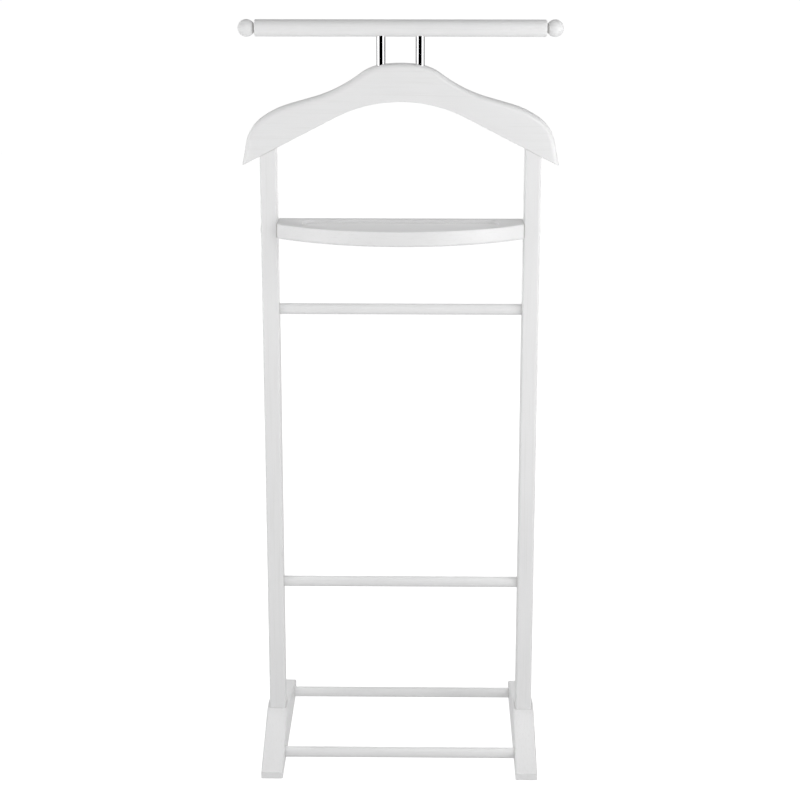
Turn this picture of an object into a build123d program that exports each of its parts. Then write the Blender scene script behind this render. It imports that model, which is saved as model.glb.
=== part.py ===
from build123d import *
import os

# A wooden valet stand: two uprights on runner feet carry a contoured coat hanger, a bow-fronted
# tray and two trouser rods. Two chrome tubes hold a round bar above the hanger, and two rods
# between the feet make a shoe rack.
#
# Frame: +Z up, front faces -Y, +X to the right. The origin lies on the floor, in the middle of
# the stand's width and of its feet's length. Sizes are in millimetres.

# ---------------------------------------------------------------- driving dimensions

# Uprights
upright_width = 24.0
upright_depth = 30.0
upright_centre_x = 188.0
upright_back_y = 0.0
upright_edge_radius = 3.0

# Feet
foot_length = 320.0
foot_width = 32.0
foot_top_z = 55.0
foot_front_tip_z = 11.0
foot_rear_tip_z = 19.0
foot_edge_radius = 2.5

# Hanger: crest, crown, neck, shoulder and corner follow each other along the top outline,
# the arch and a straight limb make the underside
hanger_depth = 30.0
hanger_top_z = 1034.5
hanger_arch_z = 982.0
hanger_half_width = 225.5
crest_radius = 200.0
crown_radius = 70.0
neck_radius = 200.0
neck_length = 36.0
shoulder_radius = 128.0
corner_radius = 54.0
crest_slope = 7.0
crown_slope = 37.0
neck_slope = 16.0
shoulder_slope = 36.0
corner_slope = 82.0
arch_radius = 202.0
limb_slope = 27.3
hanger_top_rounding = 7.5
hanger_underside_rounding = 1.0

# Top bar, ball finials and chrome post tubes
bar_diameter = 24.0
bar_half_length = 205.0
bar_centre_z = 1083.5
ball_diameter = 24.5
ball_centre_x = 216.25
bar_end_rounding = 2.2
post_spacing = 55.0
post_diameter = 12.7
post_wall = 1.0
post_socket_z = 1025.0
post_bar_socket_depth = 3.0

# Tray
tray_top_z = 809.5
tray_thickness = 22.0
tray_rear_y = 8.0
tray_end_depth = 46.5
tray_centre_depth = 105.5
tray_rim = 14.0
tray_recess_half_length = 141.0
tray_recess_depth = 4.8
tray_recess_corner = 20.0
tray_recess_cove = 1.0
tray_top_edge_radius = 1.5
tray_bottom_edge_radius = 4.0
tray_screw_offset_y = 7.0

# Rods
rod_diameter = 16.0
rod_socket_depth = 10.0
rod_end_chamfer = 0.8
upper_rod_z = 680.0
lower_rod_z = 257.5
foot_rod_z = 18.0
front_foot_rod_y = -104.0
rear_foot_rod_y = 115.0

# Wood screws, with a head sunk under a cover cap
screw_diameter = 4.0
screw_head_diameter = 8.0
screw_head_height = 2.5
screw_length = 45.0
screw_point_length = 4.0
screw_point_radius = 0.2
cap_plug_diameter = 10.0
cap_plug_depth = 4.0
cap_disc_diameter = 12.0
cap_disc_height = 0.5
cap_edge_rounding = 0.4

# Bolts, their washers, barrel nuts and threaded inserts
bolt_diameter = 6.0
bolt_head_diameter = 10.0
bolt_head_height = 6.0
bolt_hex_key = 5.0
bolt_hex_depth = 3.0
bolt_clearance_diameter = 6.6
washer_diameter = 12.0
washer_thickness = 1.6
counterbore_diameter = 13.0
counterbore_reach = 20.0
post_counterbore_top_z = 993.0
post_bolt_tip_z = 1086.0
insert_diameter = 9.0
insert_length = 12.0
foot_counterbore_top_z = 15.0
foot_bolt_tip_z = 100.0
barrel_nut_z = 90.0
barrel_nut_diameter = 10.0
barrel_nut_length = 18.0

# Wooden dowels
dowel_diameter = 8.0
foot_dowel_diameter = 6.0
dowel_length = 40.0
dowel_end_chamfer = 0.8
finial_dowel_length = 28.0
hanger_dowel_offset_y = 7.5
foot_dowel_offset_y = 9.5
hanger_dowel_centre_z = 909.0

# Glides under the feet
glide_diameter = 18.0
glide_height = 3.0
glide_standing_proud = 1.0
glide_nail_diameter = 2.5
glide_nail_length = 6.0
glide_offset_y = 142.0
glide_edge_chamfer = 0.6

# ---------------------------------------------------------------- places worked out from them

upright_inner_x = upright_centre_x - upright_width / 2
upright_outer_x = upright_centre_x + upright_width / 2
upright_front_y = upright_back_y - upright_depth
upright_centre_y = upright_back_y - upright_depth / 2
foot_inner_x = upright_centre_x - foot_width / 2
foot_outer_x = upright_centre_x + foot_width / 2
foot_bottom_z = glide_standing_proud
post_x = post_spacing / 2
bar_bottom_z = bar_centre_z - bar_diameter / 2
post_top_z = bar_bottom_z + post_bar_socket_depth
tray_bottom_z = tray_top_z - tray_thickness
tray_end_front_y = tray_rear_y - tray_end_depth
tray_front_y = tray_rear_y - tray_centre_depth
tray_centre_z = tray_top_z - tray_thickness / 2
rod_radius = rod_diameter / 2

# Screw places as (y, z), on the outer face of the uprights and of the feet
tray_screw_spots = [
    (upright_centre_y - tray_screw_offset_y, tray_centre_z),
    (upright_centre_y + tray_screw_offset_y, tray_centre_z),
]
trouser_rod_spots = [(upright_centre_y, upper_rod_z), (upright_centre_y, lower_rod_z)]
foot_rod_spots = [(front_foot_rod_y, foot_rod_z), (rear_foot_rod_y, foot_rod_z)]

bottom_up = (Align.CENTER, Align.CENTER, Align.MIN)
top_down = (Align.CENTER, Align.CENTER, Align.MAX)


# ---------------------------------------------------------------- helpers


def keep(piece, name):
    """Label a finished piece and write its STEP file."""
    piece.part.label = name
    export_step(piece.part, f"parts/{name}.step")


def mirrored(piece):
    """The left-hand twin of a right-hand piece."""
    with BuildPart() as twin:
        mirror(piece.part, about=Plane.YZ, mode=Mode.ADD)
    return twin


def outward(x, spots):
    """Planes on the right-hand face at x, one for each (y, z) spot, facing away from the middle."""
    return [Plane(origin=(x, y, z), z_dir=(1, 0, 0)) for y, z in spots]


def inward(x, spots):
    """The same planes, facing the middle of the stand."""
    return [Plane(origin=(x, y, z), z_dir=(-1, 0, 0)) for y, z in spots]


def side_screws(outer_x, spots):
    """Wood screws driven inwards from both sides, their heads sunk below the face at outer_x."""
    with BuildPart() as screws:
        with Locations(*inward(outer_x - cap_plug_depth, spots)):
            Cylinder(screw_head_diameter / 2, screw_head_height, align=top_down)
            Cylinder(screw_diameter / 2, screw_length - screw_point_length, align=bottom_up)
        point_x = outer_x - cap_plug_depth - screw_length + screw_point_length
        with Locations(*inward(point_x, spots)):
            Cone(screw_diameter / 2, screw_point_radius, screw_point_length, align=bottom_up)
        mirror(about=Plane.YZ)
    return screws


def rod_between(inner_x, y, z, outer_x):
    """A round rod let into both sides, with a pilot hole in each end for its screw."""
    half_length = inner_x + rod_socket_depth
    pilot_end_x = outer_x - cap_plug_depth - screw_length
    with BuildPart() as rod:
        with BuildSketch(Plane.YZ):
            with Locations((y, z)):
                Circle(rod_radius)
        extrude(amount=half_length, both=True)
        chamfer(rod.edges().filter_by(GeomType.CIRCLE), rod_end_chamfer)
        with Locations(*outward(half_length, [(y, z)])):
            Hole(screw_diameter / 2, depth=half_length - pilot_end_x)
        with Locations(*inward(-half_length, [(y, z)])):
            Hole(screw_diameter / 2, depth=half_length - pilot_end_x)
    return rod


def long_bolts(places, seat_z, tip_z):
    """Hex socket bolts standing upright, heads down, at each (x, y) place."""
    with BuildPart() as bolts:
        with Locations(*[(x, y, seat_z) for x, y in places]):
            Cylinder(bolt_head_diameter / 2, bolt_head_height, align=top_down)
            Cylinder(bolt_diameter / 2, tip_z - seat_z, align=bottom_up)
        with BuildSketch(Plane.XY.offset(seat_z - bolt_head_height)):
            with Locations(*places):
                RegularPolygon(bolt_hex_key / 2, 6, major_radius=False)
        extrude(amount=bolt_hex_depth, mode=Mode.SUBTRACT)
    return bolts


def washers(places, seat_z):
    """Flat washers that lie under the bolt seats at each (x, y) place."""
    with BuildPart() as rings:
        with BuildSketch(Plane.XY.offset(seat_z)):
            with Locations(*places):
                Circle(washer_diameter / 2)
                Circle(bolt_diameter / 2, mode=Mode.SUBTRACT)
        extrude(amount=washer_thickness)
    return rings


def upright_dowels(places, diameter, centre_z):
    """Dowels standing upright at each (x, y) place."""
    with BuildPart() as pegs:
        with Locations(*[(x, y, centre_z) for x, y in places]):
            Cylinder(diameter / 2, dowel_length)
        chamfer(pegs.edges().filter_by(GeomType.CIRCLE), dowel_end_chamfer)
    return pegs


def cover_caps():
    """The plastic caps over all screw holes of the right-hand side."""
    upright_spots = tray_screw_spots + trouser_rod_spots
    with BuildPart() as caps:
        upright_caps = outward(upright_outer_x, upright_spots)
        foot_caps = outward(foot_outer_x, foot_rod_spots)
        with Locations(*upright_caps, *foot_caps):
            Cylinder(cap_disc_diameter / 2, cap_disc_height, align=bottom_up)
            Cylinder(cap_plug_diameter / 2, cap_plug_depth - screw_head_height, align=top_down)
        # From the middle outwards: inner and outer rims on the upright, then inner and outer on the foot
        rims = caps.edges().filter_by(GeomType.CIRCLE).group_by(SortBy.RADIUS)[-1].group_by(Axis.X)
        fillet(rims[1] + rims[3], cap_edge_rounding)
    return caps


os.makedirs("parts", exist_ok=True)

# ---------------------------------------------------------------- hanger

# The blank is the hanger's plain outline, before its edges are rounded: the uprights' tops
# are cut to its underside
with BuildPart() as hanger_blank:
    with BuildSketch(Plane.XZ):
        with BuildLine():
            crest = JernArc((0, hanger_top_z), (1, 0), crest_radius, -crest_slope)
            crown = JernArc(crest @ 1, crest % 1, crown_radius, crest_slope - crown_slope)
            neck = JernArc(crown @ 1, crown % 1, neck_radius, crown_slope - neck_slope)
            slope = PolarLine(neck @ 1, neck_length, direction=neck % 1)
            shoulder = JernArc(slope @ 1, slope % 1, shoulder_radius, neck_slope - shoulder_slope)
            corner = JernArc(shoulder @ 1, shoulder % 1, corner_radius, shoulder_slope - corner_slope)
            arch = JernArc((0, hanger_arch_z), (1, 0), arch_radius, -limb_slope)
            limb = PolarLine(
                arch @ 1,
                hanger_half_width - (arch @ 1).X,
                direction=arch % 1,
                length_mode=LengthMode.HORIZONTAL,
            )
            Line(corner @ 1, limb @ 1)
            Line(crest @ 0, arch @ 0)
        make_face()
        mirror(about=Plane.YZ)
    extrude(amount=hanger_depth)

post_places = [(-post_x, upright_centre_y), (post_x, upright_centre_y)]
hanger_dowel_places = [
    (side * upright_centre_x, upright_centre_y + offset)
    for side in (-1, 1)
    for offset in (-hanger_dowel_offset_y, hanger_dowel_offset_y)
]

with BuildPart() as hanger:
    add(hanger_blank.part)
    outline = hanger.faces().filter_by(Axis.Y).edges()
    underside = hanger.faces().filter_by(lambda face: face.normal_at().Z < -0.5)
    fillet(outline - underside.edges(), hanger_top_rounding)
    outline = hanger.faces().filter_by(Axis.Y).edges()
    underside = hanger.faces().filter_by(lambda face: face.normal_at().Z < -0.5)
    fillet(outline & underside.edges(), hanger_underside_rounding)
    # Sockets for the post tubes, with bolt holes up from counterbores in the arch
    with Locations(*[(x, y, hanger_top_z) for x, y in post_places]):
        Cylinder(post_diameter / 2, hanger_top_z - post_socket_z, align=top_down, mode=Mode.SUBTRACT)
        bolt_hole_length = hanger_top_z - hanger_arch_z
        Cylinder(bolt_clearance_diameter / 2, bolt_hole_length, align=top_down, mode=Mode.SUBTRACT)
    with Locations(*[(x, y, post_counterbore_top_z) for x, y in post_places]):
        Cylinder(counterbore_diameter / 2, counterbore_reach, align=top_down, mode=Mode.SUBTRACT)
    with Locations(*[(x, y, hanger_dowel_centre_z) for x, y in hanger_dowel_places]):
        Cylinder(dowel_diameter / 2, dowel_length, mode=Mode.SUBTRACT)

keep(hanger, "hanger")
keep(upright_dowels(hanger_dowel_places, dowel_diameter, hanger_dowel_centre_z), "hanger_dowels")

# ---------------------------------------------------------------- top bar and its ball finials

with BuildPart() as top_bar:
    with BuildSketch(Plane.YZ):
        with Locations((upright_centre_y, bar_centre_z)):
            Circle(bar_diameter / 2)
    extrude(amount=bar_half_length, both=True)
    fillet(top_bar.edges().filter_by(GeomType.CIRCLE), bar_end_rounding)
    # Sockets for the post tubes, with blind holes above them for the threaded inserts
    with Locations(*[(x, y, post_top_z) for x, y in post_places]):
        Cylinder(post_diameter / 2, bar_diameter / 2, align=top_down, mode=Mode.SUBTRACT)
        Cylinder(insert_diameter / 2, insert_length, align=bottom_up, mode=Mode.SUBTRACT)
    # Dowel holes in both ends
    with Locations(*[(side * bar_half_length, upright_centre_y, bar_centre_z) for side in (-1, 1)]):
        Cylinder(dowel_diameter / 2, finial_dowel_length, rotation=(0, 90, 0), mode=Mode.SUBTRACT)
keep(top_bar, "top_bar")

with BuildPart() as finial_dowels:
    with Locations(*[(side * bar_half_length, upright_centre_y, bar_centre_z) for side in (-1, 1)]):
        Cylinder(dowel_diameter / 2, finial_dowel_length, rotation=(0, 90, 0))
keep(finial_dowels, "finial_dowels")

with BuildPart() as right_ball_finial:
    with Locations((ball_centre_x, upright_centre_y, bar_centre_z)):
        Sphere(ball_diameter / 2)
    # A small flat where the ball meets the end of the bar, and the dowel's blind hole behind it
    split(bisect_by=Plane(origin=(bar_half_length, 0, 0), z_dir=(1, 0, 0)))
    add(finial_dowels.part, mode=Mode.SUBTRACT)
keep(right_ball_finial, "right_ball_finial")
keep(mirrored(right_ball_finial), "left_ball_finial")

# ---------------------------------------------------------------- chrome post tubes and their bolts

with BuildPart() as right_post_tube:
    with BuildSketch(Plane.XY.offset(post_socket_z)):
        with Locations((post_x, upright_centre_y)):
            Circle(post_diameter / 2)
            Circle(post_diameter / 2 - post_wall, mode=Mode.SUBTRACT)
    extrude(amount=post_top_z - post_socket_z)
keep(right_post_tube, "right_post_tube")
keep(mirrored(right_post_tube), "left_post_tube")

post_washer_z = post_counterbore_top_z - washer_thickness
keep(long_bolts(post_places, post_washer_z, post_bolt_tip_z), "post_bolts")
keep(washers(post_places, post_washer_z), "post_bolt_washers")

with BuildPart() as bar_inserts:
    with BuildSketch(Plane.XY.offset(post_top_z)):
        with Locations(*post_places):
            Circle(insert_diameter / 2)
            Circle(bolt_diameter / 2, mode=Mode.SUBTRACT)
    extrude(amount=insert_length)
keep(bar_inserts, "bar_threaded_inserts")

# ---------------------------------------------------------------- uprights

foot_dowel_places = [
    (side * upright_centre_x, upright_centre_y + offset)
    for side in (-1, 1)
    for offset in (-foot_dowel_offset_y, foot_dowel_offset_y)
]
foot_bolt_places = [(side * upright_centre_x, upright_centre_y) for side in (-1, 1)]

with BuildPart() as right_upright:
    with BuildSketch(Plane.XY.offset(foot_top_z)):
        with Locations((upright_centre_x, upright_centre_y)):
            RectangleRounded(upright_width, upright_depth, upright_edge_radius)
    extrude(amount=hanger_dowel_centre_z + dowel_length - foot_top_z)
    # The top is sawn to the slope of the hanger's underside
    add(hanger_blank.part, mode=Mode.SUBTRACT)
    # Rod sockets in the inner face
    with Locations(*inward(upright_inner_x, trouser_rod_spots)):
        Hole(rod_radius, depth=rod_socket_depth)
    # Screw holes from the outer face
    with Locations(*outward(upright_outer_x, tray_screw_spots + trouser_rod_spots)):
        CounterBoreHole(screw_diameter / 2, cap_plug_diameter / 2, cap_plug_depth, depth=upright_width)
    # Dowel, bolt and barrel nut holes
    with Locations(*[(x, y, hanger_dowel_centre_z) for x, y in hanger_dowel_places]):
        Cylinder(dowel_diameter / 2, dowel_length, mode=Mode.SUBTRACT)
    with Locations(*[(x, y, foot_top_z) for x, y in foot_dowel_places]):
        Cylinder(foot_dowel_diameter / 2, dowel_length, mode=Mode.SUBTRACT)
    with Locations(*[(x, y, foot_top_z) for x, y in foot_bolt_places]):
        bore_height = foot_bolt_tip_z - foot_top_z
        Cylinder(bolt_clearance_diameter / 2, bore_height, align=bottom_up, mode=Mode.SUBTRACT)
    with Locations(*inward(upright_inner_x, [(upright_centre_y, barrel_nut_z)])):
        Hole(barrel_nut_diameter / 2, depth=barrel_nut_length)
keep(right_upright, "right_upright")
keep(mirrored(right_upright), "left_upright")

# ---------------------------------------------------------------- tray

with BuildPart() as tray:
    with BuildSketch(Plane.XY.offset(tray_bottom_z)):
        with BuildLine():
            Polyline(
                (-upright_inner_x, tray_end_front_y),
                (-upright_inner_x, tray_rear_y),
                (upright_inner_x, tray_rear_y),
                (upright_inner_x, tray_end_front_y),
            )
            ThreePointArc(
                (-upright_inner_x, tray_end_front_y),
                (0, tray_front_y),
                (upright_inner_x, tray_end_front_y),
            )
        make_face()
    extrude(amount=tray_thickness)
    ends = tray.faces().filter_by(Axis.X)
    top_rim = tray.faces().sort_by(Axis.Z)[-1].edges() - ends.edges()
    bottom_rim = tray.faces().sort_by(Axis.Z)[0].edges() - ends.edges()
    fillet(top_rim, tray_top_edge_radius)
    fillet(bottom_rim, tray_bottom_edge_radius)
    # The D-shaped recess: a straight back, a front that follows the tray's bow, round corners
    with BuildSketch(Plane.XY.offset(tray_top_z)) as recess:
        bow_rise = tray_centre_depth - tray_end_depth
        bow_radius = (upright_inner_x**2 + bow_rise**2) / (2 * bow_rise)
        with Locations((0, tray_front_y + bow_radius)):
            Circle(bow_radius - tray_rim)
        with Locations((0, tray_rear_y - tray_rim)):
            Rectangle(
                2 * tray_recess_half_length,
                bow_radius,
                align=(Align.CENTER, Align.MAX),
                mode=Mode.INTERSECT,
            )
        fillet(recess.vertices(), tray_recess_corner)
    extrude(amount=-tray_recess_depth, mode=Mode.SUBTRACT)
    # Of the level faces, the recess floor lies between the underside and the rim
    recess_floor = tray.faces().filter_by(Axis.Z).sort_by(Axis.Z)[1]
    fillet(recess_floor.edges(), tray_recess_cove)
    # Pilot holes in both ends for the screws
    pilot_depth = screw_length + cap_plug_depth - upright_width
    with Locations(*outward(upright_inner_x, tray_screw_spots)):
        Hole(screw_diameter / 2, depth=pilot_depth)
    with Locations(*inward(-upright_inner_x, tray_screw_spots)):
        Hole(screw_diameter / 2, depth=pilot_depth)
keep(tray, "tray")
keep(side_screws(upright_outer_x, tray_screw_spots), "tray_screws")

# ---------------------------------------------------------------- trouser rods

rod_y = upright_centre_y
keep(rod_between(upright_inner_x, rod_y, upper_rod_z, upright_outer_x), "upper_trouser_rod")
keep(rod_between(upright_inner_x, rod_y, lower_rod_z, upright_outer_x), "lower_trouser_rod")
keep(side_screws(upright_outer_x, trouser_rod_spots), "trouser_rod_screws")

# ---------------------------------------------------------------- feet

glide_spots = [(upright_centre_x, -glide_offset_y), (upright_centre_x, glide_offset_y)]

with BuildPart() as right_foot:
    with BuildSketch(Plane.YZ.offset(foot_inner_x)) as side_profile:
        with BuildLine():
            Polyline(
                (-foot_length / 2, foot_bottom_z),
                (-foot_length / 2, foot_front_tip_z),
                (upright_front_y, foot_top_z),
                (upright_back_y, foot_top_z),
                (foot_length / 2, foot_rear_tip_z),
                (foot_length / 2, foot_bottom_z),
                close=True,
            )
        make_face()
    extrude(amount=foot_width)
    side_outlines = right_foot.faces().filter_by(Axis.X).edges()
    ground_edges = right_foot.faces().sort_by(Axis.Z)[0].edges()
    fillet(side_outlines - ground_edges, foot_edge_radius)
    # Sockets for the shoe rack's rods in the inner face, screw holes from the outer face
    with Locations(*inward(foot_inner_x, foot_rod_spots)):
        Hole(rod_radius, depth=rod_socket_depth)
    with Locations(*outward(foot_outer_x, foot_rod_spots)):
        CounterBoreHole(screw_diameter / 2, cap_plug_diameter / 2, cap_plug_depth, depth=foot_width)
    # Dowel holes and a counterbored bolt hole under the upright
    with Locations(*[(x, y, foot_top_z) for x, y in foot_dowel_places]):
        Cylinder(foot_dowel_diameter / 2, dowel_length, mode=Mode.SUBTRACT)
    with Locations(*[(x, y, foot_bottom_z) for x, y in foot_bolt_places]):
        bolt_seat_height = foot_counterbore_top_z - foot_bottom_z
        Cylinder(counterbore_diameter / 2, bolt_seat_height, align=bottom_up, mode=Mode.SUBTRACT)
        Cylinder(bolt_clearance_diameter / 2, foot_top_z, align=bottom_up, mode=Mode.SUBTRACT)
    # Shallow seats for the glides
    with Locations(*[(x, y, foot_bottom_z) for x, y in glide_spots]):
        seat_depth = glide_height - glide_standing_proud
        Cylinder(glide_diameter / 2, seat_depth, align=bottom_up, mode=Mode.SUBTRACT)
        nail_top = seat_depth + glide_nail_length
        Cylinder(glide_nail_diameter / 2, nail_top, align=bottom_up, mode=Mode.SUBTRACT)
keep(right_foot, "right_foot")
keep(mirrored(right_foot), "left_foot")

foot_washer_z = foot_counterbore_top_z - washer_thickness
keep(long_bolts(foot_bolt_places, foot_washer_z, foot_bolt_tip_z), "foot_bolts")
keep(washers(foot_bolt_places, foot_washer_z), "foot_bolt_washers")
keep(upright_dowels(foot_dowel_places, foot_dowel_diameter, foot_top_z), "foot_dowels")

with BuildPart() as foot_barrel_nuts:
    with Locations(*inward(upright_inner_x, [(upright_centre_y, barrel_nut_z)])):
        Cylinder(barrel_nut_diameter / 2, barrel_nut_length, align=top_down)
    with Locations((upright_centre_x, upright_centre_y, barrel_nut_z)):
        Cylinder(bolt_diameter / 2, barrel_nut_diameter, mode=Mode.SUBTRACT)
    mirror(about=Plane.YZ)
keep(foot_barrel_nuts, "foot_barrel_nuts")

keep(rod_between(foot_inner_x, front_foot_rod_y, foot_rod_z, foot_outer_x), "front_foot_rod")
keep(rod_between(foot_inner_x, rear_foot_rod_y, foot_rod_z, foot_outer_x), "rear_foot_rod")
keep(side_screws(foot_outer_x, foot_rod_spots), "foot_rod_screws")

# ---------------------------------------------------------------- small trim

right_cover_caps = cover_caps()
keep(right_cover_caps, "right_cover_caps")
keep(mirrored(right_cover_caps), "left_cover_caps")

with BuildPart() as glides:
    with Locations(*[(x, y, 0) for x, y in glide_spots]):
        Cylinder(glide_diameter / 2, glide_height, align=bottom_up)
    chamfer(glides.edges().filter_by(GeomType.CIRCLE).group_by(Axis.Z)[0], glide_edge_chamfer)
    with Locations(*[(x, y, glide_height) for x, y in glide_spots]):
        Cylinder(glide_nail_diameter / 2, glide_nail_length, align=bottom_up)
    mirror(about=Plane.YZ)
keep(glides, "foot_glides")
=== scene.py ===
import math

import bmesh
import bpy
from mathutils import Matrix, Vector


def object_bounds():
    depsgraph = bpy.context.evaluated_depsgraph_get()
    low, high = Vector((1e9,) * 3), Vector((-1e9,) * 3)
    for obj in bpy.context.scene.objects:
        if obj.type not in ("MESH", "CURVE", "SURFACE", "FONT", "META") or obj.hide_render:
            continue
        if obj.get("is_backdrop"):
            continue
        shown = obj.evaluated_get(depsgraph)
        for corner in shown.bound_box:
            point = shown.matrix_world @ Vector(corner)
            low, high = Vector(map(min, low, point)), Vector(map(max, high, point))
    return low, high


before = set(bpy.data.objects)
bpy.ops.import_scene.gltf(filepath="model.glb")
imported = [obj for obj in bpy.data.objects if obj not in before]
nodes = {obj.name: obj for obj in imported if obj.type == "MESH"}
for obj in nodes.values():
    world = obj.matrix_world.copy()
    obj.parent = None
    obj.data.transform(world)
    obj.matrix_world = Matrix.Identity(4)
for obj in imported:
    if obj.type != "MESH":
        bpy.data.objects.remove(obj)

scene = bpy.context.scene
cad_low, cad_high = (corner.copy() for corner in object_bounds())


# ---------------------------------------------------------------- camera

CAMERA_PLACE = (0.0413, -2.869, 1.3531)
CAMERA_PITCH_DOWN = math.radians(15.857)
CAMERA_TURN_LEFT = math.radians(0.845)
CAMERA_LENS = 90.65
SENSOR_WIDTH = 36.0

camera_data = bpy.data.cameras.new("camera")
camera_data.lens = CAMERA_LENS
camera_data.sensor_width = SENSOR_WIDTH
camera = bpy.data.objects.new("camera", camera_data)
camera.location = CAMERA_PLACE
camera.rotation_euler = (math.radians(90) - CAMERA_PITCH_DOWN, 0.0, CAMERA_TURN_LEFT)
scene.collection.objects.link(camera)
scene.camera = camera

scene.view_settings.view_transform = "Standard"
scene.view_settings.look = "None"


# ---------------------------------------------------------------- lamps

# How far the lamps stand from the stand's axis
KEY_DISTANCE = 1.15
RING_DISTANCE = 1.9
FACING_DISTANCE = 2.0

# Heights of their middles above the floor
LOW = 0.35
BACK_LOW = 0.6
MIDDLE = 0.95
HIGH = 1.9
FRONT_HIGH = 2.0

# Width and height of the lit panels
KEY_PANEL = (0.5, 0.9)
LOW_PANEL = (0.95, 0.5)
HIGH_PANEL = (0.95, 0.8)
RIGHT_SIDE_PANEL = (0.9, 0.6)
LEFT_SIDE_PANEL = (0.8, 0.6)
FACING_PANEL = (1.0, 0.8)


def softbox(name, azimuth, distance, height, panel, watts, mirrored=True):
    """A soft lamp that the camera doesn't see, turned to the stand's axis.

    Azimuth 0 is in front of the stand and 90 is on its right. A lamp that isn't mirrored
    lights surfaces but makes no highlights.
    """
    light = bpy.data.lights.new(name, "AREA")
    light.shape = "RECTANGLE"
    light.size, light.size_y = panel
    light.energy = watts
    lamp = bpy.data.objects.new(name, light)
    angle = math.radians(azimuth)
    lamp.location = (distance * math.sin(angle), -distance * math.cos(angle), height)
    lamp.rotation_euler = (math.radians(90), 0.0, angle)
    lamp.visible_camera = False
    lamp.visible_glossy = mirrored
    scene.collection.objects.link(lamp)


softbox("right_key", 58, KEY_DISTANCE, MIDDLE, KEY_PANEL, 3.7)
softbox("right_low", 40, RING_DISTANCE, LOW, LOW_PANEL, 4.8)
softbox("right_front_high", 35, RING_DISTANCE, HIGH, HIGH_PANEL, 6.4)
softbox("right_high", 65, RING_DISTANCE, HIGH, HIGH_PANEL, 2.6)
softbox("right_side", 85, RING_DISTANCE, MIDDLE, RIGHT_SIDE_PANEL, 2.4)
softbox("right_rear", 132, RING_DISTANCE, HIGH, HIGH_PANEL, 12.0, mirrored=False)
softbox("left_key", -58, KEY_DISTANCE, MIDDLE, KEY_PANEL, 3.0)
softbox("left_low", -40, RING_DISTANCE, LOW, LOW_PANEL, 2.7)
softbox("left_front_high", -35, RING_DISTANCE, HIGH, HIGH_PANEL, 2.0)
softbox("left_side", -84, RING_DISTANCE, MIDDLE, LEFT_SIDE_PANEL, 3.4)
softbox("left_rear", -130, RING_DISTANCE, HIGH, HIGH_PANEL, 18.0, mirrored=False)
softbox("front_high", 0, FACING_DISTANCE, FRONT_HIGH, FACING_PANEL, 4.6)
softbox("back_low", 180, FACING_DISTANCE, BACK_LOW, FACING_PANEL, 2.7)


# ---------------------------------------------------------------- node trees


class Nodes:
    """Short calls that build one node tree."""

    def __init__(self, tree):
        self.tree = tree

    def new(self, kind, **values):
        node = self.tree.nodes.new("ShaderNode" + kind)
        for key, value in values.items():
            setattr(node, key, value)
        return node

    def link(self, source, target):
        self.tree.links.new(source, target)

    def noise(self, scale, detail=3.0, roughness=0.5):
        """Noise fixed to the object. The scale is one number, or one number for each axis."""
        coords = self.new("TexCoord")
        mapping = self.new("Mapping")
        mapping.inputs["Scale"].default_value = scale if isinstance(scale, tuple) else (scale,) * 3
        self.link(coords.outputs["Object"], mapping.inputs["Vector"])
        node = self.new("TexNoise")
        node.inputs["Scale"].default_value = 1.0
        node.inputs["Detail"].default_value = detail
        node.inputs["Roughness"].default_value = roughness
        self.link(mapping.outputs["Vector"], node.inputs["Vector"])
        return node.outputs["Fac"]

    def ramp(self, source, low, high, to_low=0.0, to_high=1.0):
        """A smooth step of the source, from to_low at low to to_high at high."""
        node = self.new("MapRange", interpolation_type="SMOOTHSTEP")
        node.inputs["From Min"].default_value = low
        node.inputs["From Max"].default_value = high
        node.inputs["To Min"].default_value = to_low
        node.inputs["To Max"].default_value = to_high
        self.link(source, node.inputs["Value"])
        return node.outputs["Result"]

    def blend(self, factor, first, second):
        """A mix of two colours, each a tuple or another node's output."""
        node = self.new("Mix", data_type="RGBA")
        self.link(factor, node.inputs["Factor"])
        for socket, value in ((node.inputs["A"], first), (node.inputs["B"], second)):
            if isinstance(value, tuple):
                socket.default_value = (*value, 1.0)
            else:
                self.link(value, socket)
        return node.outputs["Result"]

    def math(self, operation, first, second):
        node = self.new("Math", operation=operation)
        self.link(first, node.inputs[0])
        self.link(second, node.inputs[1])
        return node.outputs["Value"]

    def bump(self, height, depth, strength, under=None):
        """A surface normal bumped by the height, on top of the bump given as under."""
        node = self.new("Bump")
        node.inputs["Strength"].default_value = strength
        node.inputs["Distance"].default_value = depth
        self.link(height, node.inputs["Height"])
        if under is not None:
            self.link(under, node.inputs["Normal"])
        return node.outputs["Normal"]


class Finish(Nodes):
    """A new material and its node tree."""

    def __init__(self, name):
        self.material = bpy.data.materials.new(name)
        self.material.use_nodes = True
        super().__init__(self.material.node_tree)
        self.shader = self.tree.nodes["Principled BSDF"]

    def set(self, socket, value):
        """Give one of the shader's sockets a number or colour, or another node's output."""
        if isinstance(value, bpy.types.NodeSocket):
            self.link(value, self.shader.inputs[socket])
        else:
            self.shader.inputs[socket].default_value = value


# ---------------------------------------------------------------- room and floor

# How bright each part of the room is, as light on the stand
UPPER_FRONT_LIGHT = 0.45
BACK_WALL_LIGHT = 0.24
CEILING_LIGHT = 0.45

# Where the parts of the room fade into each other, on a sphere of radius 1 round the stand
FRONT_EDGE = (-0.2, 0.0)
BACK_EDGE = (0.0, 0.3)
WALL_TOP = (0.35, 0.6)
CEILING_EDGE = (0.8, 0.95)

# How bright the room is to the eye
ROOM_WHITE = 1.02

PURE_WHITE = (1.0, 1.0, 1.0, 1.0)


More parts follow.
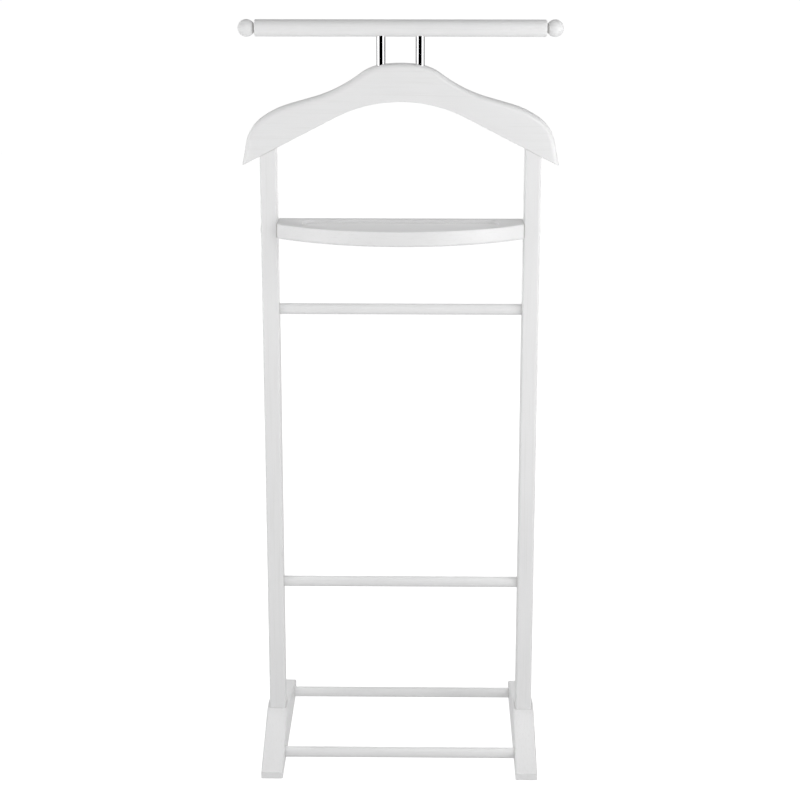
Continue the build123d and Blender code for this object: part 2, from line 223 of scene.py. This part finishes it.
def studio_world():
    """Plain white to the eye. As light, a pale upper front and ceiling, and a low back wall."""
    world = bpy.data.worlds.new("studio")
    world.use_nodes = True
    n = Nodes(world.node_tree)
    n.tree.nodes.clear()
    out = n.new("OutputWorld")
    split = n.new("SeparateXYZ")
    n.link(n.new("TexCoord").outputs["Generated"], split.inputs[0])
    along, height = split.outputs["Y"], split.outputs["Z"]
    upper_front = n.math(
        "MULTIPLY",
        n.ramp(along, *FRONT_EDGE, to_low=UPPER_FRONT_LIGHT, to_high=0.0),
        n.ramp(height, *WALL_TOP),
    )
    back_wall = n.math(
        "MULTIPLY",
        n.ramp(along, *BACK_EDGE, to_high=BACK_WALL_LIGHT),
        n.ramp(height, *WALL_TOP, to_low=1.0, to_high=0.0),
    )
    walls = n.math("ADD", upper_front, back_wall)
    ceiling = n.ramp(height, *CEILING_EDGE, to_high=CEILING_LIGHT)
    room = n.new("Background")
    room.inputs["Color"].default_value = PURE_WHITE
    n.link(n.math("ADD", walls, ceiling), room.inputs["Strength"])
    seen = n.new("Background")
    seen.inputs["Color"].default_value = PURE_WHITE
    seen.inputs["Strength"].default_value = ROOM_WHITE
    mix = n.new("MixShader")
    n.link(n.new("LightPath").outputs["Is Camera Ray"], mix.inputs[0])
    n.link(room.outputs[0], mix.inputs[1])
    n.link(seen.outputs[0], mix.inputs[2])
    n.link(mix.outputs[0], out.inputs["Surface"])
    return world


FLOOR_RADIUS = 6.0
FLOOR_SEGMENTS = 96
FLOOR_PAPER = (0.3, 0.3, 0.3, 1.0)
FLOOR_GLOW = 0.42
FLOOR_WHITE = 0.97


def floor_paper():
    """Matt white paper, lit from within: softly as light on the stand, and white to the eye."""
    n = Finish("studio_floor")
    n.set("Base Color", FLOOR_PAPER)
    n.set("Roughness", 0.9)
    n.set("Specular IOR Level", 0.0)
    n.set("Emission Color", PURE_WHITE)
    seen = n.new("LightPath").outputs["Is Camera Ray"]
    n.set("Emission Strength", n.ramp(seen, 0.0, 1.0, FLOOR_GLOW, FLOOR_WHITE))
    return n.material


scene.world = studio_world()

floor_mesh = bpy.data.meshes.new("floor")
build = bmesh.new()
bmesh.ops.create_circle(build, cap_ends=True, radius=FLOOR_RADIUS, segments=FLOOR_SEGMENTS)
build.to_mesh(floor_mesh)
build.free()
floor_mesh.materials.append(floor_paper())
floor = bpy.data.objects.new("floor", floor_mesh)
scene.collection.objects.link(floor)
floor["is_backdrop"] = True


# ---------------------------------------------------------------- finishes

# Noise scales are in features per metre, and depths and reaches in metres.
X_AXIS, Y_AXIS, Z_AXIS = range(3)

LACQUER_TONES = ((0.835, 0.835, 0.838), (0.858, 0.858, 0.859))
LACQUER_OVER_GRAIN = (0.80, 0.798, 0.795)
LACQUER_WORN = (0.76, 0.755, 0.74)
# Painted shade: the darker colour the lacquer is given in corners, creases and joints
PAINTED_CREASE_SHADE = (0.61, 0.605, 0.595)
WORN_EDGE_RADIUS = 0.0016
# How far the ambient occlusion looks for nearby surfaces when painting shade into creases
PAINTED_SHADE_REACH = 0.004
PEEL_DEPTH = 0.00006
GRAIN_DEPTH = 0.00012
PORE_DEPTH = 0.00006

CHROME_TONES = ((0.80, 0.80, 0.81), (0.86, 0.86, 0.865))
DRAW_LINE_DEPTH = 0.00001

ZINC_TONES = ((0.56, 0.58, 0.61), (0.70, 0.71, 0.72))
ZINC_GRAIN_DEPTH = 0.00003

BEECH_TONES = ((0.62, 0.43, 0.27), (0.74, 0.55, 0.37))
BEECH_FLECK = (0.42, 0.26, 0.15)
RING_DEPTH = 0.00008

CAP_TONES = ((0.78, 0.78, 0.77), (0.82, 0.82, 0.815))
CAP_GRAIN_DEPTH = 0.00002
GLIDE_TONES = ((0.66, 0.66, 0.64), (0.74, 0.74, 0.72))
GLIDE_GRAIN_DEPTH = 0.00005


def grained(axis, along, across):
    """Noise scales for grain that runs along one axis."""
    return tuple(along if i == axis else across for i in range(3))


def white_lacquer(name, axis):
    """White lacquer sprayed on wood whose grain runs along the given axis."""
    n = Finish(name)
    broad = n.noise(5, detail=2.0)
    grain = n.noise(grained(axis, along=9, across=420), detail=4.0, roughness=0.6)
    pores = n.noise(grained(axis, along=60, across=1600), detail=2.0)
    peel = n.noise(330, detail=2.0)

    tone = n.blend(n.ramp(broad, 0.35, 0.65), *LACQUER_TONES)
    veined = n.blend(n.ramp(grain, 0.48, 0.72, to_high=0.6), tone, LACQUER_OVER_GRAIN)

    # The bevelled normal leaves the true one only near an edge, where the lacquer is worn
    bevelled = n.new("Bevel", samples=4)
    bevelled.inputs["Radius"].default_value = WORN_EDGE_RADIUS
    agreement = n.new("VectorMath", operation="DOT_PRODUCT")
    n.link(bevelled.outputs["Normal"], agreement.inputs[0])
    n.link(n.new("NewGeometry").outputs["Normal"], agreement.inputs[1])
    at_edge = n.ramp(agreement.outputs["Value"], 0.985, 0.86)
    worn = n.math("MULTIPLY", at_edge, n.ramp(broad, 0.4, 0.7, 0.2, 0.8))
    lacquered = n.blend(worn, veined, LACQUER_WORN)

    # Painted shade: where ambient occlusion finds other surfaces close by, in corners, recesses and
    # joints between parts, the lacquer colour is darkened towards the crease shade colour
    shade_occlusion = n.new("AmbientOcclusion", samples=6)
    shade_occlusion.inputs["Distance"].default_value = PAINTED_SHADE_REACH
    unshaded = n.ramp(shade_occlusion.outputs["AO"], 0.35, 0.85)
    n.set("Base Color", n.blend(unshaded, PAINTED_CREASE_SHADE, lacquered))

    n.set("Roughness", n.ramp(n.noise(45), 0.3, 0.7, 0.33, 0.43))
    relief = n.bump(peel, PEEL_DEPTH, 0.5)
    relief = n.bump(grain, GRAIN_DEPTH, 0.5, under=relief)
    n.set("Normal", n.bump(pores, PORE_DEPTH, 0.4, under=relief))
    n.set("Coat Weight", 0.15)
    n.set("Coat Roughness", 0.2)
    return n.material


def chrome():
    """Polished chrome with faint draw lines along the tube and a little haze."""
    n = Finish("polished_chrome")
    haze = n.noise(grained(Z_AXIS, along=60, across=160))
    lines = n.noise(grained(Z_AXIS, along=25, across=2600), detail=2.0)
    n.set("Metallic", 1.0)
    n.set("Base Color", n.blend(n.ramp(haze, 0.3, 0.7), *CHROME_TONES))
    n.set("Roughness", n.ramp(haze, 0.35, 0.75, 0.02, 0.05))
    n.set("Normal", n.bump(lines, DRAW_LINE_DEPTH, 0.08))
    return n.material


def zinc():
    """Bright zinc plate, slightly blue, with the cloudy tone of the bath."""
    n = Finish("zinc_plate")
    cloud = n.noise(240, detail=4.0)
    n.set("Metallic", 1.0)
    n.set("Base Color", n.blend(n.ramp(cloud, 0.3, 0.7), *ZINC_TONES))
    n.set("Roughness", n.ramp(cloud, 0.3, 0.7, 0.28, 0.42))
    n.set("Normal", n.bump(n.noise(1500, detail=2.0), ZINC_GRAIN_DEPTH, 0.2))
    return n.material


def bare_beech(name, axis):
    """Unfinished beech whose grain runs along the given axis, with short dark flecks."""
    n = Finish(name)
    rings = n.noise(grained(axis, along=30, across=500), detail=4.0, roughness=0.6)
    flecks = n.noise(grained(axis, along=700, across=2500), detail=1.0)
    wood = n.blend(n.ramp(rings, 0.3, 0.7), *BEECH_TONES)
    n.set("Base Color", n.blend(n.ramp(flecks, 0.62, 0.72, to_high=0.6), wood, BEECH_FLECK))
    n.set("Roughness", n.ramp(rings, 0.3, 0.7, 0.55, 0.7))
    n.set("Normal", n.bump(rings, RING_DEPTH, 0.4))
    return n.material


def moulded(name, tones, roughest, smoothest, depth):
    """Moulded plastic in a narrow range of tones, with a fine moulded grain."""
    n = Finish(name)
    cloud = n.noise(120)
    n.set("Base Color", n.blend(n.ramp(cloud, 0.3, 0.7), *tones))
    n.set("Roughness", n.ramp(cloud, 0.3, 0.7, smoothest, roughest))
    n.set("Normal", n.bump(n.noise(2200, detail=2.0), depth, 0.3))
    return n.material


# ---------------------------------------------------------------- finishes on the pieces

lacquer = {
    X_AXIS: white_lacquer("white_lacquer_x", X_AXIS),
    Y_AXIS: white_lacquer("white_lacquer_y", Y_AXIS),
    Z_AXIS: white_lacquer("white_lacquer_z", Z_AXIS),
}
beech = {
    X_AXIS: bare_beech("bare_beech_x", X_AXIS),
    Z_AXIS: bare_beech("bare_beech_z", Z_AXIS),
}
other_finishes = {
    "chrome_tube": chrome(),
    "zinc_plated_steel": zinc(),
    "white_cap_plastic": moulded("white_cap_plastic_finish", CAP_TONES, 0.38, 0.28, CAP_GRAIN_DEPTH),
    "glide_nylon": moulded("glide_nylon_finish", GLIDE_TONES, 0.6, 0.5, GLIDE_GRAIN_DEPTH),
}

# The grain of every other wooden piece runs along X
grain_axis = {
    "left_upright": Z_AXIS,
    "right_upright": Z_AXIS,
    "left_foot": Y_AXIS,
    "right_foot": Y_AXIS,
    "hanger_dowels": Z_AXIS,
    "foot_dowels": Z_AXIS,
}

for name, node in nodes.items():
    slot = node.material_slots[0]
    axis = grain_axis.get(name, X_AXIS)
    if slot.material.name == "white_lacquered_wood":
        slot.material = lacquer[axis]
    elif slot.material.name == "beech_dowel":
        slot.material = beech[axis]
    else:
        slot.material = other_finishes[slot.material.name]
